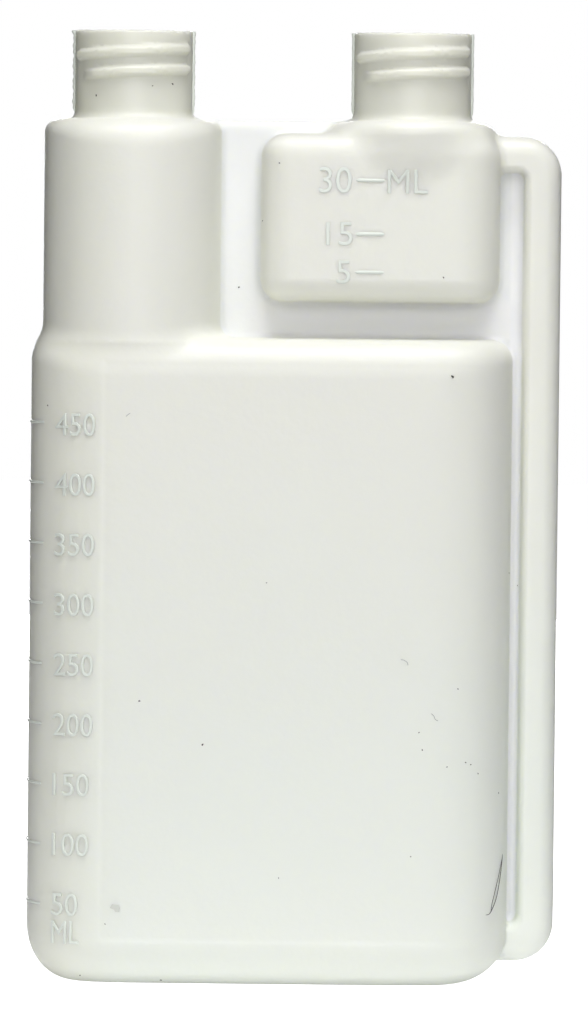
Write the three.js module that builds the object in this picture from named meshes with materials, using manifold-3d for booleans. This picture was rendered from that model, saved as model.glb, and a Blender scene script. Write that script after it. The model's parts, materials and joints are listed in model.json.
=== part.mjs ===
// A twin-neck dosing bottle, blow-moulded in one piece from natural polyethylene.
// The large body is filled through the tower on the left. Squeezing the body drives liquid
// up the tube on the right and into the dosing chamber, which pours through its own neck.
// Millimetres, +Z up, front at -Y. The origin is the middle of the base, on the parting plane.
import * as THREE from "three";
import { mergeVertices } from "three/addons/utils/BufferGeometryUtils.js";
import Module from "manifold-3d";

const wasm = await Module();
wasm.setup();

// Wall and finish
const wall = 1.1;
const webThickness = 2.0;
const partingLandWidth = 0.9;
const partingLandHeight = 0.5;

// Body
const bodyWidth = 103;
const bodyDepth = 43.4;
const bodyHeight = 137.6;
const bodyCorner = 16;
const bodyCrown = 0.9;
const bodyTopAcross = 5.4;
const bodyTopAlong = 8.4;
const bodyFootAcross = 8.6;
const bodyFootAlong = 11;
const footRim = 5;
const footHollow = 1.2;
const footHollowCorner = 4;

// Filling tower, above the left of the body
const towerWidth = 38;
const towerDepth = 41.4;
const towerSideStep = 2.3;
const towerCorner = 16.5;
const towerTopAcross = 3.4;
const towerTopAlong = 5.5;

// Dosing chamber, above the right of the body
const chamberWidth = 51;
const chamberDepth = 30;
const chamberHeight = 35.8;
const chamberCorner = 8;
const chamberEdge = 5.2;
const gapUnderChamber = 7.9;
const gapBesideChamber = 5.3;
const collarWidth = 36.2;
const collarDepth = 34.4;
const collarCorner = 16.2;
const collarEdge = 3;
const collarRise = 2.7;

// Transfer tube, up the right side
const tubeWidth = 8;
const tubeDepth = 12;
const tubeBend = 8.2;
const tubeInnerBend = 1.6;
const tubeEdge = 3.4;
const tubeFoot = 4.3;
const topPassage = 7.7;
const footPassage = 8.4;
const stripWidth = 2.2;
const passageOverlap = 6;

// Threaded necks, a 28 mm finish
const neckSpacing = 59.8;
const neckHeight = 19.3;
const neckRootRadius = 12.55;
const neckWall = 1.25;
const neckFillet = 1.4;
const threadRelief = 1.1;
const threadWidth = 2.3;
const threadCrest = 1.0;
const threadPitch = 4.233;
const threadTurns = 1.5;
const threadStartAngle = -43;
const threadStartDrop = 9.7;
const threadGapAngle = 25;
const threadFadeShare = 0.25;
const threadEndRelief = 0.25;

// Raised graduations
const markRelief = 0.35;
const markThickness = 0.55;
const bodyMarks = 9;
const firstBodyMark = 16.85;
const bodyMarkPitch = 12.81;
const bodyMarkReach = 2.3;
const chamberMarkHeights = [6.2, 14.4, 26.2];
const chamberMarkLength = 5.7;
const chamberMarkFromLeft = 20.5;

// Places that follow from the sizes
const overallWidth = bodyWidth + stripWidth + tubeWidth;
const bodyLeft = -overallWidth / 2;
const bodyRight = bodyLeft + bodyWidth;
const bodyX = bodyLeft + bodyWidth / 2;
const towerX = bodyLeft + towerSideStep + towerWidth / 2;
const tubeRight = overallWidth / 2;
const tubeLeft = tubeRight - tubeWidth;
const chamberRight = tubeLeft - gapBesideChamber;
const chamberX = chamberRight - chamberWidth / 2;
const chamberFoot = bodyHeight + gapUnderChamber;
const chamberTop = chamberFoot + chamberHeight;
const shoulderHeight = chamberTop + collarRise;
const towerFoot = bodyHeight - bodyTopAlong - towerTopAlong;
const doseX = towerX + neckSpacing;
const mouthHeight = shoulderHeight + neckHeight;

// How finely curves are faceted. three.js gives an arc twice its curve's steps.
const cornerSteps = 3;
const bendSteps = 2;
const edgeSteps = 4;
const neckFacets = 44;
const threadFacetAngle = 9;
const fewestThreadFacets = 3;
const overlap = 0.5;
const quarterTurn = 90;
const halfTurn = 180;

// Solids and booleans

// A closed three.js geometry as a manifold-3d solid.
function solid(geometry) {
  const bare = geometry.index ? geometry.toNonIndexed() : geometry.clone();
  bare.deleteAttribute("normal");
  bare.deleteAttribute("uv");
  const merged = mergeVertices(bare, 1e-4);
  const made = new wasm.Manifold(
    new wasm.Mesh({
      numProp: 3,
      vertProperties: merged.attributes.position.array,
      triVerts: new Uint32Array(merged.index.array),
    }),
  );
  return made;
}

// A manifold-3d solid as a three.js geometry.
function geometryOf(made) {
  const mesh = made.getMesh();
  const geometry = new THREE.BufferGeometry();
  geometry.setAttribute("position", new THREE.BufferAttribute(mesh.vertProperties, 3));
  geometry.setIndex(new THREE.BufferAttribute(mesh.triVerts, 1));
  geometry.computeVertexNormals();
  return geometry;
}

const join = (solids) => solids.reduce((all, one) => all.add(one));

// A solid through rings of equally many points. Its two ends are flat, in the plane that
// flatten maps to two dimensions, and the rings run anticlockwise seen from the last ring.
function loft(rings, flatten) {
  const count = rings[0].length;
  const positions = rings.flat().flatMap((point) => point.toArray());
  const index = [];
  for (let ring = 0; ring + 1 < rings.length; ring++) {
    for (let i = 0; i < count; i++) {
      const a = ring * count + i;
      const b = ring * count + ((i + 1) % count);
      index.push(a, b, b + count, a, b + count, a + count);
    }
  }
  const last = (rings.length - 1) * count;
  const cap = THREE.ShapeUtils.triangulateShape(rings[0].map(flatten), []);
  for (const [a, b, c] of cap) index.push(a, c, b);
  const lid = THREE.ShapeUtils.triangulateShape(rings[rings.length - 1].map(flatten), []);
  for (const [a, b, c] of lid) index.push(last + a, last + b, last + c);
  const geometry = new THREE.BufferGeometry();
  geometry.setAttribute("position", new THREE.Float32BufferAttribute(positions, 3));
  geometry.setIndex(index);
  return solid(geometry);
}

// How far an edge that is rounded as a quarter ellipse has come in, from one end to the other.
function roundedLevels(low, high, lowRound, highRound) {
  const levels = [];
  for (let i = 0; i <= edgeSteps; i++) {
    const turn = (i / edgeSteps) * (Math.PI / 2);
    const inset = lowRound.across * (1 - Math.sin(turn));
    levels.push({ inset, at: low + lowRound.along * (1 - Math.cos(turn)) });
  }
  for (let i = edgeSteps; i >= 0; i--) {
    const turn = (i / edgeSteps) * (Math.PI / 2);
    const inset = highRound.across * (1 - Math.sin(turn));
    levels.push({ inset, at: high - highRound.along * (1 - Math.cos(turn)) });
  }
  return levels;
}

// An upright solid whose plan outline comes in at each level.
function upright(outline, levels) {
  const ring = ({ inset, at }) => outline(inset).map((p) => new THREE.Vector3(p.x, p.y, at));
  return loft(levels.map(ring), (p) => new THREE.Vector2(p.x, p.y));
}

// The plan of a rounded block whose front and back bulge by crown, as a function of its inset.
function plan(x, width, depth, corner, crown = 0) {
  return (inset) => {
    const r = corner - inset;
    const halfWidth = width / 2 - inset;
    const halfDepth = depth / 2 - inset - crown;
    const flat = halfWidth - r;
    const shape = new THREE.Path();
    shape.moveTo(x - flat, -halfDepth);
    if (crown > 0) {
      shape.quadraticCurveTo(x, -halfDepth - 2 * crown, x + flat, -halfDepth);
    } else {
      shape.lineTo(x + flat, -halfDepth);
    }
    shape.absarc(x + flat, -halfDepth + r, r, -Math.PI / 2, 0);
    shape.absarc(x + flat, halfDepth - r, r, 0, Math.PI / 2);
    if (crown > 0) {
      shape.quadraticCurveTo(x, halfDepth + 2 * crown, x - flat, halfDepth);
    } else {
      shape.lineTo(x - flat, halfDepth);
    }
    shape.absarc(x - flat, halfDepth - r, r, Math.PI / 2, Math.PI);
    shape.absarc(x - flat, -halfDepth + r, r, Math.PI, Math.PI * 1.5);
    return distinct(shape.getPoints(cornerSteps));
  };
}

// An outline without the points that its curves share, or its start again at its end.
function distinct(points) {
  return points.filter((p, i) => p.distanceTo(points[(i + 1) % points.length]) > 1e-6);
}

// A rounded edge of the outer skin, and the same edge one wall further in.
const round = (across, along) => ({ across, along });
const within = (edge) => round(edge.across - wall, edge.along - wall);

// Pieces of the outer skin, and the space inside each

const bodyPlan = plan(bodyX, bodyWidth, bodyDepth, bodyCorner, bodyCrown);
const bodyFoot = round(bodyFootAcross, bodyFootAlong);
const bodyTop = round(bodyTopAcross, bodyTopAlong);

function bodySkin() {
  return upright(bodyPlan, roundedLevels(0, bodyHeight, bodyFoot, bodyTop));
}

// The space in the body, over a floor that stands up in the middle.
function bodySpace() {
  const inner = (inset) => bodyPlan(inset + wall);
  const space = upright(
    inner,
    roundedLevels(wall, bodyHeight - wall, within(bodyFoot), within(bodyTop)),
  );
  return space.subtract(footPad(footHollow + wall, wall));
}

// The raised middle of the base, grown sideways by margin, with sides that slope in.
function footPad(high, margin) {
  const around = 2 * (bodyFootAcross + footRim);
  const padPlan = plan(bodyX, bodyWidth - around, bodyDepth - around, footHollowCorner);
  return upright(padPlan, [
    { inset: -overlap - margin, at: -overlap },
    { inset: high - margin, at: high },
  ]);
}

const towerPlan = plan(towerX, towerWidth, towerDepth, towerCorner);
const towerTop = round(towerTopAcross, towerTopAlong);
const square = round(0, 0);

function towerSkin() {
  return upright(towerPlan, roundedLevels(towerFoot, shoulderHeight, square, towerTop));
}

function towerSpace() {
  const inner = (inset) => towerPlan(inset + wall);
  return upright(inner, roundedLevels(towerFoot, shoulderHeight - wall, square, within(towerTop)));
}

const chamberPlan = plan(chamberX, chamberWidth, chamberDepth, chamberCorner);
const chamberRound = round(chamberEdge, chamberEdge);
const collarPlan = plan(doseX, collarWidth, collarDepth, collarCorner);
const collarRound = round(collarEdge, collarEdge);

function chamberSkin() {
  const box = upright(chamberPlan, roundedLevels(chamberFoot, chamberTop, chamberRound, chamberRound));
  const low = chamberTop - chamberEdge - collarEdge;
  const collar = upright(collarPlan, roundedLevels(low, shoulderHeight, collarRound, collarRound));
  return box.add(collar);
}

function chamberSpace() {
  const low = chamberTop - chamberEdge - collarEdge + wall;
  const edge = within(chamberRound);
  const lip = within(collarRound);
  const box = upright(
    (inset) => chamberPlan(inset + wall),
    roundedLevels(chamberFoot + wall, chamberTop - wall, edge, edge),
  );
  const collar = upright(
    (inset) => collarPlan(inset + wall),
    roundedLevels(low, shoulderHeight - wall, lip, lip),
  );
  return box.add(collar);
}

// The tube seen from the front, with a passage to the chamber at its head and one to the
// body at its foot. Points are across and up, and inset draws the whole outline in.
function tubeOutline(inset) {
  const right = tubeRight - inset;
  const left = tubeLeft + inset;
  const top = chamberTop - inset;
  const foot = tubeFoot + inset;
  const underTop = chamberTop - topPassage + inset;
  const overFoot = tubeFoot + footPassage - inset;
  const bend = tubeBend - inset;
  const inner = tubeInnerBend + inset;
  const shape = new THREE.Path();
  shape.moveTo(bodyRight - passageOverlap, foot);
  shape.lineTo(right - bend, foot);
  shape.absarc(right - bend, foot + bend, bend, -Math.PI / 2, 0);
  shape.lineTo(right, top - bend);
  shape.absarc(right - bend, top - bend, bend, 0, Math.PI / 2);
  shape.lineTo(chamberRight - passageOverlap, top);
  shape.lineTo(chamberRight - passageOverlap, underTop);
  shape.lineTo(left - inner, underTop);
  shape.absarc(left - inner, underTop - inner, inner, Math.PI / 2, 0, true);
  shape.lineTo(left, overFoot + inner);
  shape.absarc(left - inner, overFoot + inner, inner, 0, -Math.PI / 2, true);
  shape.lineTo(bodyRight - passageOverlap, overFoot);
  return distinct(shape.getPoints(bendSteps));
}

// A solid from back to front, with an outline that faces the front.
function frontal(outline, levels) {
  const ring = ({ inset, at }) => outline(inset).map((p) => new THREE.Vector3(p.x, -at, p.y));
  return loft(levels.map(ring), (p) => new THREE.Vector2(p.x, p.z));
}

function tubeSkin() {
  const edge = round(tubeEdge, tubeEdge);
  return frontal(tubeOutline, roundedLevels(-tubeDepth / 2, tubeDepth / 2, edge, edge));
}

function tubeSpace() {
  const edge = within(round(tubeEdge, tubeEdge));
  const half = tubeDepth / 2 - wall;
  return frontal((inset) => tubeOutline(inset + wall), roundedLevels(-half, half, edge, edge));
}

// The web that fills the parting plane between the tower, the chamber, the body and the tube.
function web() {
  const tubeMiddle = (tubeLeft + tubeRight) / 2;
  const low = tubeFoot + footPassage / 2;
  const underPassage = chamberTop - topPassage / 2;
  const outline = [
    [towerX, bodyHeight - bodyTopAlong],
    [bodyRight - bodyTopAcross, bodyHeight - bodyTopAlong],
    [bodyRight - bodyTopAcross, low],
    [tubeMiddle, low],
    [tubeMiddle, underPassage],
    [doseX, underPassage],
    [doseX, shoulderHeight],
    [towerX, shoulderHeight],
  ].map(([x, z]) => new THREE.Vector2(x, z));
  const half = webThickness / 2;
  return frontal(() => outline, [{ at: -half }, { at: half }]);
}

// Necks

const upAxis = new THREE.Matrix4().makeRotationX(Math.PI / 2);

// A turned solid on an upright axis at x, from a profile of radius and height.
function turned(x, profile) {
  const points = profile.map(([radius, height]) => new THREE.Vector2(radius, height));
  const geometry = new THREE.LatheGeometry(points, neckFacets);
  geometry.applyMatrix4(upAxis);
  geometry.translate(x, 0, 0);
  return solid(geometry);
}

function neckSkin(x) {
  const fillet = [];
  for (let i = 0; i <= edgeSteps; i++) {
    const turn = (i / edgeSteps) * (Math.PI / 2);
    const radius = neckRootRadius + neckFillet * (1 - Math.sin(turn));
    fillet.push([radius, shoulderHeight + neckFillet * (1 - Math.cos(turn))]);
  }
  const low = shoulderHeight - wall;
  return turned(x, [
    [0, low],
    [fillet[0][0], low],
    ...fillet,
    [neckRootRadius, mouthHeight],
    [0, mouthHeight],
  ]);
}

function neckBore(x) {
  const bore = neckRootRadius - neckWall;
  const low = shoulderHeight - wall - overlap;
  const high = mouthHeight + overlap;
  return turned(x, [
    [0, low],
    [bore, low],
    [bore, high],
    [0, high],
  ]);
}

// The raised lands that the parting line leaves on both sides of a neck.
function partingLands(x) {
  const reach = neckRootRadius + partingLandHeight;
  const lands = new THREE.BoxGeometry(2 * reach, partingLandWidth, neckHeight);
  lands.translate(x, 0, shoulderHeight + neckHeight / 2);
  return solid(lands);
}

// The radius and height of the thread's section at an angle from its start, in degrees.
// Angles are counted from the front, anticlockwise from above, and the thread rises with them.
function threadSection(x, angle, relief) {
  const turn = THREE.MathUtils.degToRad(angle - quarterTurn);
  const middle = mouthHeight - threadStartDrop + (threadPitch * (angle - threadStartAngle)) / (2 * halfTurn);
  const root = neckRootRadius - overlap;
  const crest = neckRootRadius + relief;
  const section = [
    [root, -threadWidth / 2],
    [crest, -threadCrest / 2],
    [crest, threadCrest / 2],
    [root, threadWidth / 2],
  ];
  return section.map(([radius, rise]) => {
    const across = x + radius * Math.cos(turn);
    return new THREE.Vector3(across, radius * Math.sin(turn), middle + rise);
  });
}

// One run of thread between two angles, which ends short of the parting line.
function threadRun(x, from, to) {
  const steps = Math.max(fewestThreadFacets, Math.round((to - from) / threadFacetAngle));
  const rings = [];
  for (let i = 0; i <= steps; i++) {
    const fromEnd = Math.min(i, steps - i) / steps;
    const fade = Math.min(1, fromEnd / threadFadeShare + threadEndRelief);
    rings.push(threadSection(x, from + ((to - from) * i) / steps, threadRelief * fade));
  }
  const turn = THREE.MathUtils.degToRad((from + to) / 2 - quarterTurn);
  const outward = new THREE.Vector3(Math.cos(turn), Math.sin(turn), 0);
  rings.reverse();
  return loft(rings, (p) => new THREE.Vector2(p.dot(outward), p.z));
}

// The thread, in runs on the front and the back that leave the parting line clear.
function thread(x) {
  const end = threadStartAngle + 2 * halfTurn * threadTurns;
  const reach = quarterTurn - threadGapAngle;
  const runs = [];
  for (let front = -halfTurn; front < end; front += halfTurn) {
    const from = Math.max(threadStartAngle, front - reach);
    const to = Math.min(end, front + reach);
    if (to - from > threadGapAngle / 2) runs.push(threadRun(x, from, to));
  }
  return join(runs);
}

// Graduations

// A block that reaches from the parting plane out past the front.
function markBlock(low, high, z) {
  const block = new THREE.BoxGeometry(high - low, bodyDepth, markThickness);
  block.translate((low + high) / 2, -bodyDepth / 2, z);
  return solid(block);
}

// Bars on the left of the body, one every 50 ml.
function bodyGraduations() {
  const grown = upright(
    (inset) => bodyPlan(inset - markRelief),
    roundedLevels(0, bodyHeight, bodyFoot, bodyTop),
  );
  const bars = [];
  for (let i = 0; i < bodyMarks; i++) {
    const z = firstBodyMark + bodyMarkPitch * i;
    bars.push(markBlock(bodyLeft - overlap, bodyLeft + bodyMarkReach, z));
  }
  return join(bars).intersect(grown);
}

// Bars on the front of the chamber, at 5, 15 and 30 ml.
function chamberGraduations() {
  const left = chamberX - chamberWidth / 2 + chamberMarkFromLeft;
  const bars = chamberMarkHeights.map((height) => {
    const bar = new THREE.BoxGeometry(chamberMarkLength, chamberDepth / 2 + markRelief, markThickness);
    bar.translate(
      left + chamberMarkLength / 2,
      -(chamberDepth / 2 + markRelief) / 2,
      chamberFoot + height,
    );
    return solid(bar);
  });
  return join(bars);
}

// The bottle
function bottle() {
  const skin = join([
    bodySkin(),
    towerSkin(),
    chamberSkin(),
    tubeSkin(),
    web(),
    neckSkin(towerX),
    neckSkin(doseX),
    partingLands(towerX),
    partingLands(doseX),
    thread(towerX),
    thread(doseX),
    bodyGraduations(),
    chamberGraduations(),
  ]);
  const space = join([
    bodySpace(),
    towerSpace(),
    chamberSpace(),
    tubeSpace(),
    neckBore(towerX),
    neckBore(doseX),
  ]);
  return skin.subtract(footPad(footHollow, 0)).subtract(space);
}

const naturalPolyethylene = new THREE.MeshStandardMaterial({
  color: 0xe4e8dd,
  roughness: 0.42,
  metalness: 0,
});

const dosingBottle = new THREE.Group();
const mesh = new THREE.Mesh(geometryOf(bottle()), naturalPolyethylene);
mesh.name = "bottle";
dosingBottle.add(mesh);

export default dosingBottle;
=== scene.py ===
import json
import math

import bpy
import numpy as np
import openvdb
from mathutils import Matrix, Vector


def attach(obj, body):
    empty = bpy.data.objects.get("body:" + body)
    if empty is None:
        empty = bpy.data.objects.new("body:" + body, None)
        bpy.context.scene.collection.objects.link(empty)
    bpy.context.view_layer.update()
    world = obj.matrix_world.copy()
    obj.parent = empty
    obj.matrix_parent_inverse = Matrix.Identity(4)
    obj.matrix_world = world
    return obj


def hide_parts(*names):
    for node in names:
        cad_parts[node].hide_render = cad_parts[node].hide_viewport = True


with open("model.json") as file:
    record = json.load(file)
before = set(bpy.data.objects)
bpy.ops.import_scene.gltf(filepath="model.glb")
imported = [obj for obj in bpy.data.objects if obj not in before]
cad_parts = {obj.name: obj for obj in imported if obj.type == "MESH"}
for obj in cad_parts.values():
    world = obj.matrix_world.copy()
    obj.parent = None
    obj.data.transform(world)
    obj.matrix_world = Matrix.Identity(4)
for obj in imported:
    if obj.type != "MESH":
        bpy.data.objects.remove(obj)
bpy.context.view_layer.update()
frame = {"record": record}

# The camera stands 1.23 m in front of the bottle, level with the top of its body, and looks
# through a long lens. The bottle stands askew in the picture, so the camera is rolled.
PHOTO_WIDTH = 588
PHOTO_HEIGHT = 1024
PIXELS_PER_METRE = 4650
EYE = Vector((0, -1.226, 0.1394))
AIM = Vector((0, 0, 0.1003))
ROLL = math.radians(0.6)
SENSOR_WIDTH = 36

focal_pixels = PIXELS_PER_METRE * (AIM - EYE).length
lens = bpy.data.cameras.new("camera")
lens.sensor_width = SENSOR_WIDTH
lens.lens = focal_pixels * SENSOR_WIDTH / PHOTO_HEIGHT
camera = bpy.data.objects.new("camera", lens)
camera.matrix_world = (
    Matrix.Translation(EYE)
    @ (AIM - EYE).to_track_quat("-Z", "Y").to_matrix().to_4x4()
    @ Matrix.Rotation(ROLL, 4, "Z")
)
scene = bpy.context.scene
scene.collection.objects.link(camera)
scene.camera = camera
scene.view_settings.view_transform = "Standard"


# The table runs on into a white room with no horizon. What the camera sees of both is pure
# white. The light they give back is less: the table is only white close round the bottle and
# the room is dark, which leaves the bottle's sides darker than its front. Close round the bottle
# the table also glows a little, a painted glow that stands in for light bounced up from it.
ROOM_GREY = 0.01
TABLE_HALF_WIDTH = 4.0
TABLE_WHITE = 0.84
TABLE_DARK = 0.56
TABLE_WHITE_TO = 0.07
TABLE_DARK_FROM = 0.3
TABLE_GLOW = 1.0
TABLE_BOUNCE_GLOW = 0.2
TABLE_ROUGHNESS = 0.9
WHITE = (1, 1, 1, 1)


class Finish:
    """A node tree in the making. node() adds any node and returns its output as a Field."""

    def __init__(self, owner):
        owner.use_nodes = True
        self.tree = owner.node_tree
        self.tree.nodes.clear()

    def node(self, kind, settings=None, inputs=None, output=0):
        made = self.tree.nodes.new(kind)
        for name, value in (settings or {}).items():
            setattr(made, name, value)
        for name, value in (inputs or {}).items():
            if isinstance(value, Field):
                self.tree.links.new(value.socket, made.inputs[name])
            else:
                made.inputs[name].default_value = value
        return Field(self, made.outputs[output]) if made.outputs else None


class Field:
    """A number that varies over a surface. Arithmetic on it adds Math nodes."""

    def __init__(self, finish, socket):
        self.finish = finish
        self.socket = socket

    def math(self, operation, *values):
        return self.finish.node("ShaderNodeMath", {"operation": operation}, dict(enumerate(values)))

    def __add__(self, other):
        return self.math("ADD", self, other)

    def __sub__(self, other):
        return self.math("SUBTRACT", self, other)

    def __rsub__(self, other):
        return self.math("SUBTRACT", other, self)

    def __mul__(self, other):
        return self.math("MULTIPLY", self, other)

    def __abs__(self):
        return self.math("ABSOLUTE", self)

    def larger(self, other):
        return self.math("MAXIMUM", self, other)

    def between(self, low, high):
        """0 below low, 1 above high, eased between them."""
        ranged = {"Value": self, "From Min": low, "From Max": high}
        return self.finish.node("ShaderNodeMapRange", {"interpolation_type": "SMOOTHSTEP"}, ranged)

    __radd__ = __add__
    __rmul__ = __mul__


room = bpy.data.worlds.new("white_room")
scene.world = room
walls = Finish(room)
seen = walls.node("ShaderNodeLightPath", output="Is Camera Ray")
brightness = seen * (1 - ROOM_GREY) + ROOM_GREY
backdrop = walls.node("ShaderNodeBackground", inputs={"Color": WHITE, "Strength": brightness})
walls.node("ShaderNodeOutputWorld", inputs={"Surface": backdrop})

table_mesh = bpy.data.meshes.new("table")
table_corners = [
    (x * TABLE_HALF_WIDTH, y * TABLE_HALF_WIDTH, 0) for x, y in ((-1, -1), (1, -1), (1, 1), (-1, 1))
]
table_mesh.from_pydata(table_corners, [], [(0, 1, 2, 3)])
table = bpy.data.objects.new("table", table_mesh)
scene.collection.objects.link(table)

table_material = bpy.data.materials.new("white_table")
top = Finish(table_material)
seen = top.node("ShaderNodeLightPath", output="Is Camera Ray")
on_table = top.node("ShaderNodeTexCoord", output="Object")
distance = top.node("ShaderNodeVectorMath", {"operation": "LENGTH"}, {0: on_table}, "Value")
close_by = 1 - distance.between(TABLE_WHITE_TO, TABLE_DARK_FROM)
paint = top.node(
    "ShaderNodeBsdfPrincipled",
    inputs={
        "Base Color": close_by * (TABLE_WHITE - TABLE_DARK) + TABLE_DARK,
        "Roughness": TABLE_ROUGHNESS,
        "Emission Color": seen * TABLE_GLOW + close_by * TABLE_BOUNCE_GLOW,
        "Emission Strength": 1.0,
    },
)
top.node("ShaderNodeOutputMaterial", inputs={"Surface": paint})
table_mesh.materials.append(table_material)


# Four soft boxes: one round the camera, one high in front, one overhead, which draws the
# highlights along the shoulders, and one behind, which shines through the web.
LAMPS_AIM = Vector((0, 0, 0.1))


def soft_box(name, place, width, height, watts):
    lamp = bpy.data.lights.new(name, "AREA")
    lamp.shape = "RECTANGLE"
    lamp.size = width
    lamp.size_y = height
    lamp.energy = watts
    holder = bpy.data.objects.new(name, lamp)
    holder.location = place
    holder.rotation_mode = "QUATERNION"
    holder.rotation_quaternion = (LAMPS_AIM - Vector(place)).to_track_quat("-Z", "Y")
    scene.collection.objects.link(holder)


soft_box("soft_box_front", (0.03, -1.6, 0.25), 0.8, 0.8, 10.3)
soft_box("soft_box_high", (0.1, -1.05, 1.0), 0.6, 0.6, 4.6)
soft_box("soft_box_above", (0.06, -0.3, 1.15), 0.6, 0.3, 8.2)
soft_box("soft_box_behind", (0, 1.5, 0.3), 0.6, 0.6, 16.0)


# The bottle itself: body, filling tower, dosing chamber, transfer tube, the flat web between
# them and both necks, blown as one skin. Its form is written as signed distances in
# millimetres, negative inside, which are blended together as the mould blends them. A pair of
# sizes says how far the rounding of an edge reaches across its end face and along its wall. A
# crown is how far a wall bulges, and a root is how deep a form is sunk in the one below it.
MM = 0.001
mounts = {mount["name"]: np.array(mount["pos_m"]) / MM for mount in frame["record"]["mounts"]}
MOUTH = mounts["filling_neck_rim"][2]
FILLING_X = mounts["filling_neck_rim"][0]
DOSING_X = mounts["dosing_neck_rim"][0]
WALL = 1.1
WALL_EASE = 0.3
RIM_EASE = 0.5
MOUTH_SLOPE = 0.04
CORNER_EASE = 0.6

BODY_LEFT = -56.6
BODY_RIGHT = 46.5
BODY_DEPTH = 43.4
BODY_TOP = 137.6
BODY_CORNER = 16.0
BODY_CROWN = 0.9
BODY_TOP_AT_SIDE = (4.6, 4.8)
BODY_TOP_AT_FRONT = (7.2, 8.2)
BODY_FOOT_AT_LEFT = (9.5, 11.5)
BODY_FOOT_AT_RIGHT = (12.0, 10.0)
BODY_FOOT_AT_FRONT = (8.0, 9.5)
FOOT_RING = 14.0
FOOT_RISE = 1.2
FOOT_SLOPE = 2.0
PANEL_LEFT = -40.3
PANEL_FOOT = 9.6
PANEL_TOP = 132.5
PANEL_DEPTH = 0.12
PANEL_BEVEL = 1.0

TOWER_LEFT = -54.3
TOWER_RIGHT = -16.3
TOWER_DEPTH = 41.4
TOWER_CORNER = 16.5
TOWER_CROWN = 1.4
TOWER_TOP_AT_SIDE = (2.6, 2.6)
TOWER_TOP_AT_FRONT = (5.8, 6.2)
TOWER_EASE = 0.45
TOWER_EASE_START = 1.0
TOWER_ROOT = 12.0
TOWER_FILLET = 3.5
SHOULDER = 184.0

CHAMBER_LEFT = -7.6
CHAMBER_RIGHT = 43.4
CHAMBER_DEPTH = 30.0
CHAMBER_FOOT = 145.5
CHAMBER_TOP = 181.3
CHAMBER_LEFT_CORNER = 6.0
CHAMBER_RIGHT_CORNER = 9.0
CHAMBER_EDGE = 5.0
COLLAR_RADIUS = 18.1
COLLAR_HALF_DEPTH = 17.2
COLLAR_CONE_TOP = 178.0
COLLAR_CONE_EASE = 6.0
COLLAR_TAPER = 0.55
COLLAR_EDGE = 3.2
COLLAR_FOOT = 157.5
COLLAR_FILLET = 3.0

TUBE_RIGHT = 56.6
TUBE_WIDTH = 8.0
TUBE_DEPTH = 12.0
TUBE_BEND = 8.3
TUBE_INNER_BEND = 1.6
TUBE_EDGE_OUTSIDE = (3.6, 4.6)
TUBE_EDGE_INSIDE = (1.6, 2.4)
TUBE_FOOT = 4.3
TUBE_ROOT = 4.0
TUBE_FILLET = 1.6
TOP_PASSAGE = 7.7
FOOT_PASSAGE = 8.4

WEB_HALF_THICKNESS = 1.0
WEB_IN_BODY_TOP = 6.0
WEB_IN_BODY_SIDE = 8.0
WEB_IN_CHAMBER = 8.0
WEB_FILLET = 1.6
NECK_RADIUS = 12.55
NECK_ROOT = 4.0
NECK_FILLET = 2.0

SEAM_LINE_RELIEF = 0.1
SEAM_LINE_REACH = 0.4
FLASH_RELIEF = 0.3
FLASH_HEIGHT = 19.8
FLASH_REACH = 2.4
FLASH_LEFT = 50.0

THREAD_RELIEF = 0.95
THREAD_HALF_WIDTH = 1.15
THREAD_CREST = 0.44
THREAD_FOOT = 1.24
THREAD_PITCH = 4.233
THREAD_START_ANGLE = -40.0
THREAD_START_HEIGHT = 193.65
THREAD_TURNS = 1.49
THREAD_FADE_ANGLE = 18.0
THREAD_RUN_HALF_ANGLE = 63.0
TURN = 360
HALF_TURN = 180
QUARTER_TURN = 90
NEVER_ZERO = 1e-6
ELLIPSE_CENTRE = 0.02


def blended(a, b, reach):
    """The union of two solids, with a fillet about as wide as reach in the corner between."""
    near = np.maximum(reach - np.abs(a - b), 0) / reach
    return np.minimum(a, b) - near * near * reach / 4


def cut_back(a, b, reach):
    """What two solids share, with the edge between their faces eased by reach."""
    return -blended(-a, -b, reach)


def rounded_off(side, end, across, along):
    """A side face and an end face joined by a quarter ellipse, whose centre has no slope."""
    u = np.maximum(side / across + 1, 0)
    v = np.maximum(end / along + 1, 0)
    out = np.hypot(u, v)
    slope = np.maximum(np.hypot(u / across, v / along), NEVER_ZERO)
    return np.where(out > ELLIPSE_CENTRE, (out - 1) * out / slope, np.maximum(side, end))


def turned(front, at_side, at_front):
    """The two reaches of a rounding, which change from the side of a block to its front."""
    return [side + (ahead - side) * front for side, ahead in zip(at_side, at_front)]


def cornered(u, v, radius):
    """Distance to a corner of some radius, from the distances past the middle of its round."""
    return np.hypot(np.maximum(u, 0), np.maximum(v, 0)) + np.minimum(np.maximum(u, v), 0) - radius


def plan(x, y, left, right, depth, left_corner, right_corner, crown=0.0):
    """Distance to an upright rounded block, and how much of it is front rather than side."""
    middle = (left + right) / 2
    half = (right - left) / 2
    across = x - middle
    corner = np.where(across < 0, left_corner, right_corner)
    u = np.abs(across) - half + corner
    v = np.abs(y) - depth / 2 + crown * (across / half) ** 2 + corner
    ease = CORNER_EASE * corner
    u_out, v_out = cut_back(u, np.zeros_like(u), ease), cut_back(v, np.zeros_like(v), ease)
    side = np.hypot(u_out, v_out) + np.minimum(np.maximum(u, v), 0) - corner
    front = v_out**2 / np.maximum(u_out**2 + v_out**2, NEVER_ZERO)
    return side, front


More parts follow.
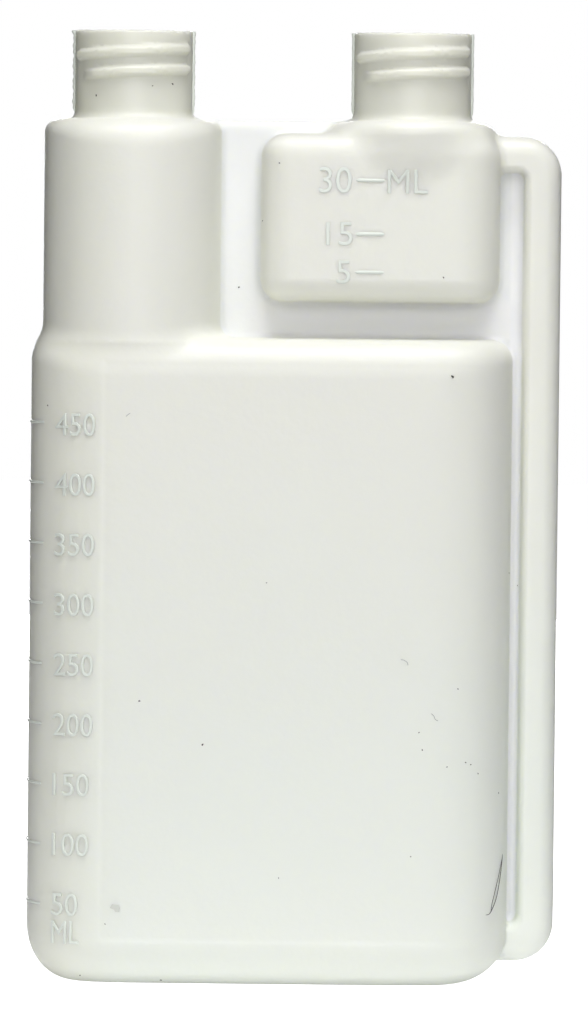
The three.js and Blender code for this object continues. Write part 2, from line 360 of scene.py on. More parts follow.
def body(x, y, z):
    side, front = plan(
        x, y, BODY_LEFT, BODY_RIGHT, BODY_DEPTH, BODY_CORNER, BODY_CORNER, BODY_CROWN
    )
    on_left = x < (BODY_LEFT + BODY_RIGHT) / 2
    foot_at_side = [
        np.where(on_left, left, right)
        for left, right in zip(BODY_FOOT_AT_LEFT, BODY_FOOT_AT_RIGHT)
    ]
    floor = FOOT_RISE * np.clip(-(side + FOOT_RING) / FOOT_SLOPE, 0, 1)
    inside_panel = np.minimum(x - PANEL_LEFT, np.minimum(z - PANEL_FOOT, PANEL_TOP - z))
    side = side + PANEL_DEPTH * np.clip(inside_panel / PANEL_BEVEL + 0.5, 0, 1) * front
    top_reach = turned(front, BODY_TOP_AT_SIDE, BODY_TOP_AT_FRONT)
    foot_reach = turned(front, foot_at_side, BODY_FOOT_AT_FRONT)
    upper = rounded_off(side, z - BODY_TOP, *top_reach)
    lower = rounded_off(side, floor - z, *foot_reach)
    return np.maximum(upper, lower)


def tower(x, y, z):
    side, front = plan(
        x, y, TOWER_LEFT, TOWER_RIGHT, TOWER_DEPTH, TOWER_CORNER, TOWER_CORNER, TOWER_CROWN
    )
    side = side + TOWER_EASE * np.maximum(BODY_TOP - TOWER_EASE_START - z, 0)
    top_reach = turned(front, TOWER_TOP_AT_SIDE, TOWER_TOP_AT_FRONT)
    upper = rounded_off(side, z - SHOULDER, *top_reach)
    return np.maximum(upper, BODY_TOP - TOWER_ROOT - z)


def chamber(x, y, z):
    side, _ = plan(
        x,
        y,
        CHAMBER_LEFT,
        CHAMBER_RIGHT,
        CHAMBER_DEPTH,
        CHAMBER_LEFT_CORNER,
        CHAMBER_RIGHT_CORNER,
    )
    upper = rounded_off(side, z - CHAMBER_TOP, CHAMBER_EDGE, CHAMBER_EDGE)
    lower = rounded_off(side, CHAMBER_FOOT - z, CHAMBER_EDGE, CHAMBER_EDGE)
    return np.maximum(upper, lower)


def collar(x, y, z):
    """The round form under the dosing neck, which narrows downward into the chamber."""
    flattened = np.hypot(x - DOSING_X, y * COLLAR_RADIUS / COLLAR_HALF_DEPTH)
    cone = COLLAR_TAPER * blended(z - COLLAR_CONE_TOP, np.zeros_like(z), COLLAR_CONE_EASE)
    upper = rounded_off(flattened - COLLAR_RADIUS - cone, z - SHOULDER, COLLAR_EDGE, COLLAR_EDGE)
    return np.maximum(upper, COLLAR_FOOT - z)


def bent_outline(x, z, right, foot, head, bend):
    """Distance, seen from the front, to a block with two bends on its right and no left end."""
    u = x - right + bend
    v = np.abs(z - (head + foot) / 2) - (head - foot) / 2 + bend
    return cornered(u, v, bend)


def tube(x, y, z):
    """The upright tube on the right, with a passage to the left at its head and its foot."""
    outer = bent_outline(x, z, TUBE_RIGHT, TUBE_FOOT, CHAMBER_TOP, TUBE_BEND)
    inner = bent_outline(
        x,
        z,
        TUBE_RIGHT - TUBE_WIDTH,
        TUBE_FOOT + FOOT_PASSAGE,
        CHAMBER_TOP - TOP_PASSAGE,
        TUBE_INNER_BEND,
    )
    outline = np.maximum(np.maximum(outer, -inner), CHAMBER_RIGHT - TUBE_ROOT - x)
    reach = [
        np.where(-inner > outer, inner_edge, outer_edge)
        for inner_edge, outer_edge in zip(TUBE_EDGE_INSIDE, TUBE_EDGE_OUTSIDE)
    ]
    return rounded_off(outline, np.abs(y) - TUBE_DEPTH / 2, *reach)


def framed(x, z, left, right, foot, head):
    """Distance, seen from the front, to a plain rectangle."""
    return np.maximum(np.maximum(left - x, x - right), np.maximum(foot - z, z - head))


def web(x, y, z):
    """The sheet where both walls meet: between the towers, beside the tube, under the chamber."""
    in_tube = TUBE_RIGHT - TUBE_WIDTH / 2
    in_body = BODY_TOP - WEB_IN_BODY_TOP
    foot = TUBE_FOOT + FOOT_PASSAGE / 2
    head = CHAMBER_TOP - TOP_PASSAGE / 2
    high = framed(x, z, FILLING_X, DOSING_X, in_body, SHOULDER)
    strip = framed(x, z, BODY_RIGHT - WEB_IN_BODY_SIDE, in_tube, foot, head)
    under = framed(x, z, FILLING_X, in_tube, in_body, CHAMBER_FOOT + WEB_IN_CHAMBER)
    sheet = np.minimum(np.minimum(high, strip), under)
    return np.maximum(np.abs(y) - WEB_HALF_THICKNESS, sheet)


def thread(x, y, z, middle):
    """How far the thread stands out from a neck. It rises to the right, seen from the front."""
    angle = np.degrees(np.arctan2(x - middle, -y))
    relief = np.zeros_like(z)
    for turn in range(-1, math.ceil(THREAD_TURNS) + 1):
        wound = angle + TURN * turn
        since_start = wound - THREAD_START_ANGLE
        rise = THREAD_START_HEIGHT + THREAD_PITCH * since_start / TURN
        from_seam = np.abs((wound + QUARTER_TURN) % HALF_TURN - QUARTER_TURN)
        past_run = np.maximum(from_seam - THREAD_RUN_HALF_ANGLE, 0)
        past_ends = np.maximum(-since_start, since_start - TURN * THREAD_TURNS)
        faded = np.clip(1 - past_ends / THREAD_FADE_ANGLE, 0, 1)
        beyond = np.radians(past_run) * NECK_RADIUS
        from_crest = np.hypot(z - rise, beyond) / THREAD_HALF_WIDTH
        bump = np.clip((THREAD_FOOT - from_crest) / (THREAD_FOOT - THREAD_CREST), 0, 1)
        bump = bump * bump * (3 - 2 * bump)
        relief = np.maximum(relief, THREAD_RELIEF * bump * faded)
    return relief


def neck(x, y, z, middle, threaded):
    around = np.hypot(x - middle, y) - NECK_RADIUS
    if threaded:
        around = around - thread(x, y, z, middle)
    return np.maximum(around, SHOULDER - NECK_ROOT - z)


def outside(x, y, z, threaded=True):
    """Signed distance to the outer skin. The necks run on past their mouths."""
    tops = blended(chamber(x, y, z), collar(x, y, z), COLLAR_FILLET)
    tops = blended(tops, tube(x, y, z), TUBE_FILLET)
    tall = blended(body(x, y, z), tower(x, y, z), TOWER_FILLET)
    whole = blended(np.minimum(tops, tall), web(x, y, z), WEB_FILLET)
    for middle in (FILLING_X, DOSING_X):
        whole = blended(whole, neck(x, y, z, middle, threaded), NECK_FILLET)
    flash = FLASH_RELIEF * np.exp(-(((z - FLASH_HEIGHT) / FLASH_REACH) ** 2)) * (x > FLASH_LEFT)
    return whole - (SEAM_LINE_RELIEF + flash) * np.exp(-((y / SEAM_LINE_REACH) ** 2))


def skin(x, y, z):
    """Signed distance to the wall of the bottle. Both mouths are trimmed lower at the front."""
    hollow = outside(x, y, z, threaded=False) + WALL
    wall = cut_back(outside(x, y, z), -hollow, WALL_EASE)
    return cut_back(wall, z - MOUTH + MOUTH_SLOPE * np.maximum(-y, 0), RIM_EASE)


def slope_of(field, points, step=0.04):
    """The gradient of a field at some points, by central differences."""
    slope = np.empty_like(points)
    for axis in range(3):
        shift = np.zeros(3)
        shift[axis] = step
        ahead, behind = points + shift, points - shift
        slope[:, axis] = (field(*ahead.T) - field(*behind.T)) / (2 * step)
    return slope


def unit(vectors):
    """The same vectors, each of length 1."""
    return vectors / np.maximum(np.linalg.norm(vectors, axis=1), NEVER_ZERO)[:, None]


def planes(*stretches, end):
    """Grid planes along one axis, from the start and step of each stretch up to the end."""
    places = []
    starts = [start for start, _ in stretches]
    for (start, step), stop in zip(stretches, [*starts[1:], end]):
        count = max(1, round((stop - start) / step))
        places.extend(np.linspace(start, stop, count, endpoint=False))
    return np.array([*places, end])


SETTLING_ROUNDS = 3
LEAST_STEEPNESS = 0.2
LONGEST_MOVE = 0.4


def surface_of(field, x_planes, y_planes, z_planes):
    """The skin of a field as vertices, normals and faces, settled on the exact surface."""
    x, y, z = np.meshgrid(x_planes, y_planes, z_planes, indexing="ij", sparse=True)
    shape = (len(x_planes), len(y_planes), len(z_planes))
    values = np.broadcast_to(field(x, y, z), shape).astype(np.float32)
    grid = openvdb.FloatGrid(float(values.max()))
    grid.copyFromArray(values)
    cells, triangles, quads = grid.convertToPolygons(0.0, 0.0)
    cells = cells.astype(float)
    axes = (x_planes, y_planes, z_planes)
    points = np.stack(
        [np.interp(cells[:, i], np.arange(len(axis)), axis) for i, axis in enumerate(axes)], axis=1
    )
    for _ in range(SETTLING_ROUNDS):
        slope = slope_of(field, points)
        steep = np.maximum((slope**2).sum(axis=1), LEAST_STEEPNESS)
        move = np.clip(field(*points.T) / steep, -LONGEST_MOVE, LONGEST_MOVE)
        points = points - slope * move[:, None]
    normals = unit(slope_of(field, points))
    faces = [tuple(face[::-1]) for face in quads.tolist()]
    faces += [tuple(face[::-1]) for face in triangles.tolist()]
    return points, normals, faces


def facing_out(points, normals, faces):
    """The faces, turned round if they wind against their normals."""
    first = np.array([face[:3] for face in faces])
    a, b, c = points[first[:, 0]], points[first[:, 1]], points[first[:, 2]]
    wound = np.einsum("ij,ij->i", np.cross(b - a, c - a), normals[first[:, 0]]).sum()
    return faces if wound > 0 else [face[::-1] for face in faces]


# The grid is finest across the seam and up the necks, and wide where the walls run straight
# up. Elsewhere its planes are a little closer together than the wall is thick.
coarse = 1.0
LEVEL_STEP = 0.98 * coarse
UPRIGHT_STEP = 0.96 * coarse
NECK_STEP = 0.6 * coarse
SEAM_STEP = 0.55
BODY_WALL_STEP = 5.5
TOWER_WALL_STEP = 2.2
GRID_RIGHT = 58.6
GRID_BACK = 23.4
GRID_FOOT = -1.6
GRID_TOP = 205.5
SEAM_BAND = 2.2
BODY_WALL_FROM, BODY_WALL_TO = 15, 124
TOWER_WALL_FROM, TOWER_WALL_TO = 152, 169
NECKS_FROM = 187

x_planes = planes((-GRID_RIGHT, LEVEL_STEP), end=GRID_RIGHT)
y_planes = planes(
    (-GRID_BACK, LEVEL_STEP), (-SEAM_BAND, SEAM_STEP), (SEAM_BAND, LEVEL_STEP), end=GRID_BACK
)
z_planes = planes(
    (GRID_FOOT, UPRIGHT_STEP),
    (BODY_WALL_FROM, BODY_WALL_STEP),
    (BODY_WALL_TO, UPRIGHT_STEP),
    (TOWER_WALL_FROM, TOWER_WALL_STEP),
    (TOWER_WALL_TO, UPRIGHT_STEP),
    (NECKS_FROM, NECK_STEP),
    end=GRID_TOP,
)
points, normals, faces = surface_of(skin, x_planes, y_planes, z_planes)
faces = facing_out(points, normals, faces)

bottle_mesh = bpy.data.meshes.new("bottle_skin")
bottle_mesh.from_pydata((points * MM).tolist(), [], faces)
bottle_mesh.shade_smooth()
bottle_mesh.normals_split_custom_set_from_vertices(normals.tolist())
bottle = bpy.data.objects.new("bottle_skin", bottle_mesh)
scene.collection.objects.link(bottle)

# The plastic is a little green low down and warmer toward the top. It is paler in the web, where
# there is little of it. Toward the left edge it is yellower and darker, which is painted shade. The
# recess under the chamber and the strip beside the tube are paler still, which is painted light
# coming through from behind, and the necks are darker, which is painted shade. These places are
# in metres.
THICK_LOW = (0.797, 0.84, 0.763, 1)
THICK_HIGH = (0.833, 0.832, 0.75, 1)
# Painted shade: yellower and darker toward the left edge.
THICK_LEFT_TINT_AND_SHADE = (0.825, 0.83, 0.715, 1)
THIN = (0.862, 0.88, 0.857, 1)
# Painted light: paler in the recess under the chamber, as if lit through from behind.
RECESS_PAINTED_LIGHT = (0.985, 0.98, 0.94, 1)
# Painted light: paler in the strip beside the tube, as if lit through from behind.
STRIP_PAINTED_LIGHT = (0.98, 0.99, 0.975, 1)
BLACK = (0, 0, 0, 1)
# Painted shade: how far the necks are darkened toward black.
NECK_PAINTED_SHADE = 0.09
LEFT_TINT_AND_SHADE_SHARE = 0.55
WARM_RISE = (0.02, 0.16)
WARM_BY_HEIGHT = 0.8
WARM_BY_CLOUDS = 0.4
WARM_DEDUCTION = 0.1
LEFT_FADE = (-0.05, -0.034)
WEB_TO_WALL = (0.0014, 0.0024)
NECK_RISE = (0.183, 0.187)
RECESS_FOOT = (0.137, 0.1385)
RECESS_HEAD = (0.143, 0.148)
RECESS_LEFT = (-0.012, -0.004)
STRIP_LEFT = (0.0455, 0.0465)
STRIP_RIGHT = (0.0485, 0.0495)
LEAST_ROUGHNESS = 0.38
ROUGHNESS_BY_CLOUDS = 0.08
PLASTIC_IOR = 1.5

polyethylene = bpy.data.materials.new("natural_polyethylene")
milky = Finish(polyethylene)
on_bottle = milky.node("ShaderNodeTexCoord", output="Object")
rightward, backward, upward = (
    milky.node("ShaderNodeSeparateXYZ", inputs={"Vector": on_bottle}, output=axis) for axis in "XYZ"
)


def mixed(factor, a, b):
    """One colour or another, by a factor. A Mix node's colours are its sockets 6, 7 and 2."""
    return milky.node("ShaderNodeMix", {"data_type": "RGBA"}, {0: factor, 6: a, 7: b}, output=2)


clouds = milky.node(
    "ShaderNodeTexNoise", inputs={"Vector": on_bottle, "Scale": 28.0, "Detail": 3.0}
)
ripples = milky.node(
    "ShaderNodeTexNoise", inputs={"Vector": on_bottle, "Scale": 420.0, "Detail": 2.0}
)
warmth = upward.between(*WARM_RISE) * WARM_BY_HEIGHT + clouds * WARM_BY_CLOUDS - WARM_DEDUCTION
in_wall = abs(backward).between(*WEB_TO_WALL)
in_necks = upward.between(*NECK_RISE)
in_recess = upward.between(*RECESS_FOOT) - upward.between(*RECESS_HEAD)
in_strip = rightward.between(*STRIP_LEFT) - rightward.between(*STRIP_RIGHT)
at_left = 1 - rightward.between(*LEFT_FADE)
# Painted light in the recess under the chamber and in the strip beside the tube.
thin_and_painted_light = mixed(in_recess * rightward.between(*RECESS_LEFT), THIN, RECESS_PAINTED_LIGHT)
thin_and_painted_light = mixed(in_strip, thin_and_painted_light, STRIP_PAINTED_LIGHT)
thick = mixed(warmth, THICK_LOW, THICK_HIGH)
# Painted shade toward the left edge.
thick = mixed(at_left * LEFT_TINT_AND_SHADE_SHARE, thick, THICK_LEFT_TINT_AND_SHADE)
colour = mixed(in_wall.larger(in_necks), thin_and_painted_light, thick)
# Painted shade in the necks.
colour = mixed(in_necks * NECK_PAINTED_SHADE, colour, BLACK)
grain = milky.node(
    "ShaderNodeBump", inputs={"Height": ripples, "Strength": 0.12, "Distance": 0.0004}
)
plastic = milky.node(
    "ShaderNodeBsdfPrincipled",
    inputs={
        "Base Color": colour,
        "Roughness": clouds * ROUGHNESS_BY_CLOUDS + LEAST_ROUGHNESS,
        "Normal": grain,
        "IOR": PLASTIC_IOR,
        "Subsurface Weight": 1.0,
        "Subsurface Radius": (1.0, 1.0, 0.85),
        "Subsurface Scale": 0.002,
    },
)
milky.node("ShaderNodeOutputMaterial", inputs={"Surface": plastic})
bottle_mesh.materials.append(polyethylene)
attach(bottle, "root")
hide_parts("bottle")


# The seam of the two mould halves runs round the middle of the bottle. It shows most on the
# necks, where the halves left a land on each side, with a little torn flash at the mouth.
SEAM_HALF_WIDTH = 0.45
SEAM_RELIEF = 0.53
SEAM_SINK = 0.3
RIB_STEPS = 7
SHARP_ANGLE = math.radians(50)
LAND_FOOT_GAP = 0.6
LAND_MOUTH_GAP = 0.15
LAND_STATIONS = 56
LAND_RUN_IN = 2.0
LAND_LEAST = 0.4
LAND_WAVES = (2.9, 1.3)
TORN_AT_MOUTH = 1.6
TORN_GAP = 0.4
TORN_REACH = 0.8
RELIEF_COLOUR = (0.735, 0.775, 0.72, 1)
RELIEF_ROUGHNESS = 0.4


def capped_rings(rings, around):
    """The faces of a bar made of rings with so many points around, closed at both ends."""
    faces = []
    for start in range(0, (rings - 1) * around, around):
        for i in range(around):
            j = (i + 1) % around
            faces.append((start + i, start + j, start + around + j, start + around + i))
    faces.append(tuple(reversed(range(around))))
    faces.append(tuple(range((rings - 1) * around, rings * around)))
    return faces


def rib(path, outward, half_width, relief, sink):
    """A bar along a path on a wall, half round in section and sunk a little into the wall."""
    along = np.gradient(path, axis=0)
    across = unit(np.cross(along, outward))
    turn = np.linspace(0, math.pi, RIB_STEPS)
    sideways = np.concatenate([np.cos(turn), [-1, 1]])
    lift = np.concatenate([np.sin(turn), [0, 0]])
    down = np.concatenate([np.zeros(RIB_STEPS), [-1, -1]])
    relief = np.broadcast_to(relief, len(path))
    half_width = np.broadcast_to(half_width, len(path))
    spread = sideways[None, :] * half_width[:, None]
    rise = lift[None, :] * relief[:, None] + down[None, :] * sink
    rings = (
        path[:, None, :]
        + across[:, None, :] * spread[:, :, None]
        + outward[:, None, :] * rise[:, :, None]
    )
    return rings.reshape(-1, 3), capped_rings(len(path), len(turn) + 2)


def gathered(parts):
    """Several (points, faces) as one."""
    points, faces, start = [], [], 0
    for part_points, part_faces in parts:
        points.append(part_points)
        faces += [tuple(start + i for i in face) for face in part_faces]
        start += len(part_points)
    return np.concatenate(points), faces


def dressed(name, parts, material):
    """A piece of the bottle made of (points, faces) in millimetres."""
    points, faces = gathered(parts)
    mesh = bpy.data.meshes.new(name)
    mesh.from_pydata((points * MM).tolist(), [], faces)
    mesh.validate()
    mesh.shade_smooth()
    mesh.set_sharp_from_angle(angle=SHARP_ANGLE)
    mesh.materials.append(material)
    piece = bpy.data.objects.new(name, mesh)
    scene.collection.objects.link(piece)
    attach(piece, "root")
    return piece


def seam_land(middle, side, torn):
    """One land on a neck. torn is how ragged its edge is."""
    height = np.linspace(SHOULDER + LAND_FOOT_GAP, MOUTH - LAND_MOUTH_GAP, LAND_STATIONS)
    waves = np.sin(height * LAND_WAVES[0]) * np.sin(height * LAND_WAVES[1] + side)
    at_mouth = np.exp(-(((height - MOUTH + TORN_GAP) / TORN_REACH) ** 2))
    ragged = torn * (waves + TORN_AT_MOUTH * at_mouth)
    wall = np.full(len(height), middle + side * NECK_RADIUS)
    path = np.stack([wall, np.zeros(len(height)), height], axis=1)
    outward = np.tile([float(side), 0.0, 0.0], (len(height), 1))
    ease = np.clip((height - height[0]) / LAND_RUN_IN, LAND_LEAST, 1)
    return rib(path, outward, SEAM_HALF_WIDTH, SEAM_RELIEF * ease + ragged, SEAM_SINK)


relief_material = bpy.data.materials.new("raised_polyethylene")
raised = Finish(relief_material)
matte = raised.node(
    "ShaderNodeBsdfPrincipled",
    inputs={"Base Color": RELIEF_COLOUR, "Roughness": RELIEF_ROUGHNESS, "IOR": PLASTIC_IOR},
)
raised.node("ShaderNodeOutputMaterial", inputs={"Surface": matte})

LANDS = (
    (FILLING_X, -1, 0.16),
    (FILLING_X, 1, 0.12),
    (DOSING_X, -1, 0.05),
    (DOSING_X, 1, 0.05),
)
seam = dressed("seam_lands", [seam_land(*land) for land in LANDS], relief_material)


# The graduations stand out from the skin, cut into the mould by an engraver: bars every
# 50 ml on the left of the body with their figures, and 5, 15 and 30 ml on the chamber.
BAR_COUNT = 9
BAR_VOLUME = 50
BAR_HALF_WIDTH = 0.3
BAR_RELIEF = 0.28
BAR_RUN_OUT = 3
FIRST_BAR = 16.85
BAR_PITCH = 12.81
BAR_LAST_ANGLE = 38
BAR_STRAIGHT_STEPS = 3
BAR_CORNER_POINTS = 9
FIGURE_HEIGHT = 4.8
FIGURE_RELIEF = 0.3
FIGURE_LEFT = -50.6
FIRST_FIGURE = 14.7
FIGURE_PITCH = 12.73
DIGIT_WIDTH = 2.87
DIGIT_GAP = 0.2
LEADING_ONE_GAP = 0.9
LETTERS_FOOT = 8.8
LETTERS_WIDTH = 5.9
LETTER_DEPTH = 0.05
LETTER_BEVEL = 0.018
LETTER_CURVE_STEPS = 4
AHEAD_OF_SKIN = -26.0
HALVINGS = 34

# Each mark on the chamber has its figure, the figure's left end and width, the height of the
# middle of the bar, and how tall the figure is.
CHAMBER_MARKS = (
    ("30", 4.6, 6.9, 171.3, 5.5),
    ("15", 6.2, 5.6, 159.9, 4.9),
    ("5", 8.5, 2.9, 151.8, 4.9),
)
CHAMBER_RELIEF = 0.2
CHAMBER_BAR_LEFT = 12.45
CHAMBER_BAR_RIGHT = 18.5
CHAMBER_BAR_HALF_WIDTH = 0.38
CHAMBER_BAR_END = 0.5
CHAMBER_BAR_BLUNTNESS = 0.1
CHAMBER_BAR_POINTS = 13
CHAMBER_LETTERS_LEFT = 19.15
CHAMBER_LETTERS_FOOT = 168.6
CHAMBER_LETTERS_WIDTH = 8.5
CHAMBER_LETTERS_HEIGHT = 5.0


def front_of(across, height):
    """Where the outer skin is met from the front at some places, and which way it faces."""
    far, near = np.full(len(across), AHEAD_OF_SKIN), np.full(len(across), 0.0)
    for _ in range(HALVINGS):
        middle = (far + near) / 2
        out = outside(across, middle, height, threaded=False) > 0
        far, near = np.where(out, middle, far), np.where(out, near, middle)
    points = np.stack([across, near, height], axis=1)
    return points, unit(slope_of(lambda x, y, z: outside(x, y, z, threaded=False), points))


def raised_words(words, left, foot, width, height, relief):
    """Plain figures or letters that stand out from the front by relief."""
    curve = bpy.data.curves.new("words", "FONT")
    curve.body = words
    curve.extrude = LETTER_DEPTH
    curve.bevel_depth = LETTER_BEVEL
    curve.offset = -LETTER_BEVEL
    curve.resolution_u = LETTER_CURVE_STEPS
    holder = bpy.data.objects.new("words", curve)
    flat = holder.to_mesh()
    local = np.array([vertex.co[:] for vertex in flat.vertices])
    faces = [tuple(face.vertices) for face in flat.polygons]
    holder.to_mesh_clear()
    bpy.data.objects.remove(holder)
    low, high = local.min(axis=0), local.max(axis=0)
    local = (local - low) / (high - low)
    places, facing = front_of(left + local[:, 0] * width, foot + local[:, 1] * height)
    lift = (2 * local[:, 2] - 1) * relief
    return places + facing * lift[:, None], faces


def side_bar(height):
    """One graduation, from the seam round into the body's front left corner."""
    turn = np.radians(np.linspace(0, BAR_LAST_ANGLE, BAR_CORNER_POINTS))
    corner_x = BODY_LEFT + BODY_CORNER
    corner_y = -(BODY_DEPTH / 2 - BODY_CROWN - BODY_CORNER)
    straight = np.linspace(0, corner_y, BAR_STRAIGHT_STEPS, endpoint=False)
    path = [(BODY_LEFT, y, height) for y in straight]
    path += [
        (corner_x - BODY_CORNER * math.cos(t), corner_y - BODY_CORNER * math.sin(t), height)
        for t in turn
    ]
    path = np.array(path)
    for _ in range(SETTLING_ROUNDS):
        path = path - slope_of(outside, path) * outside(*path.T)[:, None]
    facing = unit(slope_of(outside, path))
    ease = np.minimum(1, (len(path) - np.arange(len(path))) / BAR_RUN_OUT)
    return rib(path, facing, BAR_HALF_WIDTH, BAR_RELIEF * ease, SEAM_SINK)


def front_bar(left, right, height, relief):
    """A level bar on the front of the chamber, with rounded ends."""
    across = np.linspace(left, right, CHAMBER_BAR_POINTS)
    path, facing = front_of(across, np.full(len(across), height))
    from_end = np.minimum(across - left, right - across)
    ease = np.sqrt(np.clip(from_end / CHAMBER_BAR_END + CHAMBER_BAR_BLUNTNESS, 0, 1))
    return rib(path, facing, CHAMBER_BAR_HALF_WIDTH * ease, relief * ease, SEAM_SINK)


marks = [side_bar(FIRST_BAR + BAR_PITCH * i) for i in range(BAR_COUNT)]
for i in range(BAR_COUNT):
    volume = str(BAR_VOLUME * (i + 1))
    gap = LEADING_ONE_GAP if volume.startswith("1") else DIGIT_GAP
    width = DIGIT_WIDTH * len(volume) - gap
    foot = FIRST_FIGURE + FIGURE_PITCH * i
    marks.append(raised_words(volume, FIGURE_LEFT, foot, width, FIGURE_HEIGHT, FIGURE_RELIEF))
marks.append(
    raised_words("ML", FIGURE_LEFT, LETTERS_FOOT, LETTERS_WIDTH, FIGURE_HEIGHT, FIGURE_RELIEF)
)

for volume, left, width, middle, tall in CHAMBER_MARKS:
    marks.append(raised_words(volume, left, middle - tall / 2, width, tall, CHAMBER_RELIEF))
    marks.append(front_bar(CHAMBER_BAR_LEFT, CHAMBER_BAR_RIGHT, middle, CHAMBER_RELIEF))
marks.append(
    raised_words(
        "ML",
        CHAMBER_LETTERS_LEFT,
        CHAMBER_LETTERS_FOOT,
        CHAMBER_LETTERS_WIDTH,
        CHAMBER_LETTERS_HEIGHT,
        CHAMBER_RELIEF,
    )
)

graduations = dressed("graduations", marks, relief_material)


# A little dust has settled on the bottle: dark specks, a few curled fibres and one hair.
# Each is placed where it shows in the photograph, on whatever skin lies behind that pixel. A
# speck and the spot have their pixel across and down, and their radius in millimetres.
SPECKS = (
    (452.6, 376.7, 0.30),
    (139.3, 701, 0.20),
    (202.5, 744.7, 0.22),
    (422.3, 750, 0.16),
    (465.6, 762.5, 0.16),
    (470.7, 764.6, 0.14),
    (447, 767, 0.13),
    (478, 773.6, 0.14),
    (458, 689, 0.14),
    (419, 732.6, 0.14),
    (498.6, 793, 0.14),
    (410.7, 856.6, 0.14),
    (160.9, 980, 0.22),
    (80, 975.3, 0.18),
    (278.6, 878, 0.12),
    (105, 924, 0.12),
    (266.5, 582.8, 0.12),
    (517.7, 585.4, 0.13),
    (509, 573, 0.13),
    (47.7, 405.4, 0.18),
    (238.9, 287.2, 0.18),
    (340, 267.6, 0.2),
    (443.5, 277.5, 0.17),
    (279.4, 163, 0.15),
    (262.7, 220.7, 0.15),
    (96.2, 95.4, 0.2),
    (172.6, 84, 0.22),
    (152.6, 85.8, 0.14),
)
SPOT = (115.4, 908, 0.9)
HAIR = ((502, 854), (500.8, 868), (498.6, 884), (495.6, 900), (489.5, 914.5), (485.3, 914.9))
HAIR_STRAND = ((501.6, 858), (498.2, 876), (494.2, 893), (491.2, 905), (490.6, 912))
FIBRES = (
    ((400.5, 659.5), (404, 660), (407.5, 662.5), (408, 665.5)),
    ((431, 713.5), (434, 716), (435, 719.5), (438, 721)),
    ((126, 416.5), (128, 414.5), (130.5, 413)),
)
SPECK_CORNERS = 8
SPECK_DOME = 0.4
SPECK_RIM = 0.03
SPECK_SINK = 0.05
SPECK_WAVES = (0.3, 0.2)
SPECK_TURN = 1.7
SPOT_DOME = 0.02
SPOT_TURN = 0.6
HAIR_RADIUS = 0.07
HAIR_STRAND_RADIUS = 0.056
HAIR_LIFT = 0.05
FIBRE_RADIUS = 0.06
FIBRE_LIFT = 0.02
STRAND_SIDES = 6
STRAND_STEPS = 6
STRAND_SMOOTHINGS = 8
STRAND_TIP = 0.35
STRAND_GROWTH = 0.3
RAY_START = 1150.0
RAY_STEPS = 90
RAY_SHARE = 0.7
DUST_ROUGHNESS = 0.8
DUST_COLOUR = (0.07, 0.062, 0.055, 1)
FIBRE_COLOUR = (0.33, 0.34, 0.33, 1)
SPOT_COLOUR = (0.6, 0.62, 0.57, 1)


def behind_pixels(pixels):
    """The points of the skin that show at some pixels of the photograph, and their facing."""
    pixels = np.array(pixels, float)
    local = np.stack(
        [
            pixels[:, 0] - PHOTO_WIDTH / 2,
            PHOTO_HEIGHT / 2 - pixels[:, 1],
            np.full(len(pixels), -focal_pixels),
        ],
        axis=1,
    )
    rays = unit(local @ np.array(camera.matrix_world.to_3x3()).T)
    start = np.array(EYE) / MM
    reach = np.full(len(pixels), RAY_START)
    for _ in range(RAY_STEPS):
        reach += RAY_SHARE * outside(*(start + rays * reach[:, None]).T)
    points = start + rays * reach[:, None]
    return points, unit(slope_of(outside, points))


def ring_angles(count):
    return np.linspace(0, 2 * math.pi, count, endpoint=False)


def speck(place, facing, radius, dome, lumps):
    """A flat crumb of dust that stands out by dome. lumps turns its uneven outline."""
    across = np.cross(facing, (0, 0, 1.0))
    across /= np.linalg.norm(across)
    up = np.cross(across, facing)
    turn = ring_angles(SPECK_CORNERS)
    twofold, threefold = SPECK_WAVES
    uneven = twofold * np.sin(2 * turn + lumps) + threefold * np.sin(3 * turn + 2 * lumps)
    outline = np.outer(np.cos(turn), across) + np.outer(np.sin(turn), up)
    ring = place + (radius * (1 + uneven))[:, None] * outline
    crown = place + (SPECK_RIM + dome) * facing
    points = np.concatenate([ring - SPECK_SINK * facing, ring + SPECK_RIM * facing, [crown]])
    faces = [tuple(reversed(range(SPECK_CORNERS)))]
    for i in range(SPECK_CORNERS):
        j = (i + 1) % SPECK_CORNERS
        faces.append((i, j, SPECK_CORNERS + j, SPECK_CORNERS + i))
        faces.append((SPECK_CORNERS + i, SPECK_CORNERS + j, 2 * SPECK_CORNERS))
    return points, faces


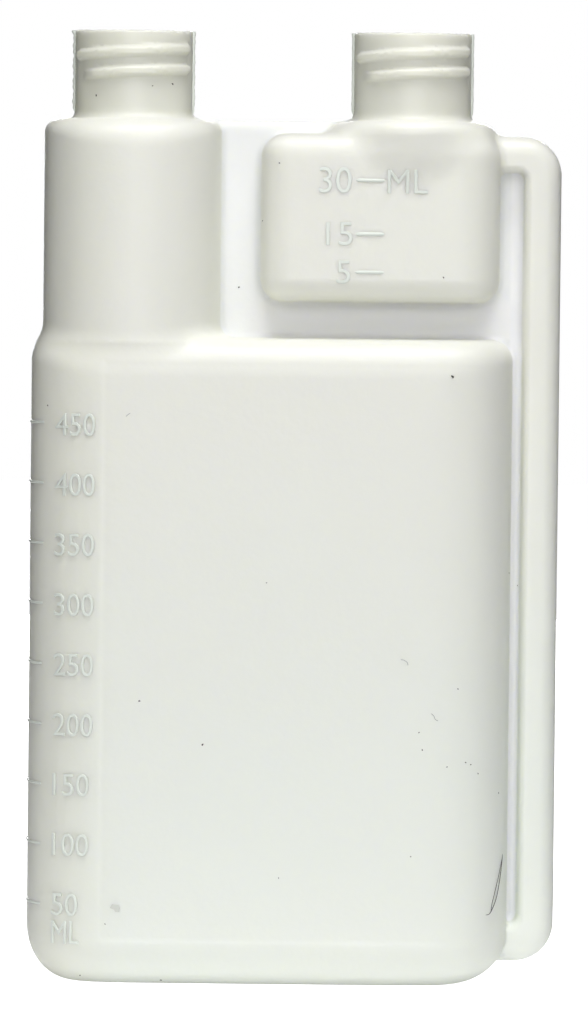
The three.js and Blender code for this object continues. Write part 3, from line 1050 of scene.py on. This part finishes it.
def strand(pixels, radius, lift):
    """A thin round fibre that lies along the skin and ends in points."""
    knots = np.array(pixels, float)
    at = np.linspace(0, len(knots) - 1, STRAND_STEPS * len(knots))
    smooth = np.stack([np.interp(at, np.arange(len(knots)), knots[:, i]) for i in (0, 1)], axis=1)
    for _ in range(STRAND_SMOOTHINGS):
        smooth[1:-1] = (smooth[:-2] + 2 * smooth[1:-1] + smooth[2:]) / 4
    path, facing = behind_pixels(smooth)
    path = path + facing * (radius + lift)
    along = unit(np.gradient(path, axis=0))
    sideways = np.cross(along, facing)
    turn = ring_angles(STRAND_SIDES)
    from_start = np.arange(len(path))
    from_end = np.minimum(from_start, from_start[::-1])
    thickness = radius * np.minimum(1, STRAND_TIP + STRAND_GROWTH * from_end)
    round_path = (
        np.cos(turn)[None, :, None] * sideways[:, None, :]
        + np.sin(turn)[None, :, None] * facing[:, None, :]
    )
    rings = path[:, None, :] + thickness[:, None, None] * round_path
    return rings.reshape(-1, 3), capped_rings(len(path), STRAND_SIDES)


def dust_material(name, colour):
    material = bpy.data.materials.new(name)
    dust = Finish(material)
    dull = dust.node(
        "ShaderNodeBsdfPrincipled", inputs={"Base Color": colour, "Roughness": DUST_ROUGHNESS}
    )
    dust.node("ShaderNodeOutputMaterial", inputs={"Surface": dull})
    return material


dark_dust = dust_material("dark_dust", DUST_COLOUR)
places, facings = behind_pixels([(x, y) for x, y, _ in SPECKS])
crumbs = [
    speck(place, facing, size, SPECK_DOME * size, SPECK_TURN * i)
    for i, (place, facing, (_, _, size)) in enumerate(zip(places, facings, SPECKS))
]
dressed("specks", crumbs, dark_dust)

(spot_place,), (spot_facing,) = behind_pixels([SPOT[:2]])
spot = speck(spot_place, spot_facing, SPOT[2], SPOT_DOME, SPOT_TURN)
dressed("spot", [spot], dust_material("grey_spot", SPOT_COLOUR))

hair = [strand(HAIR, HAIR_RADIUS, HAIR_LIFT), strand(HAIR_STRAND, HAIR_STRAND_RADIUS, HAIR_LIFT)]
dressed("hair", hair, dark_dust)
fibres = [strand(fibre, FIBRE_RADIUS, FIBRE_LIFT) for fibre in FIBRES]
dressed("fibres", fibres, dust_material("pale_dust", FIBRE_COLOUR))
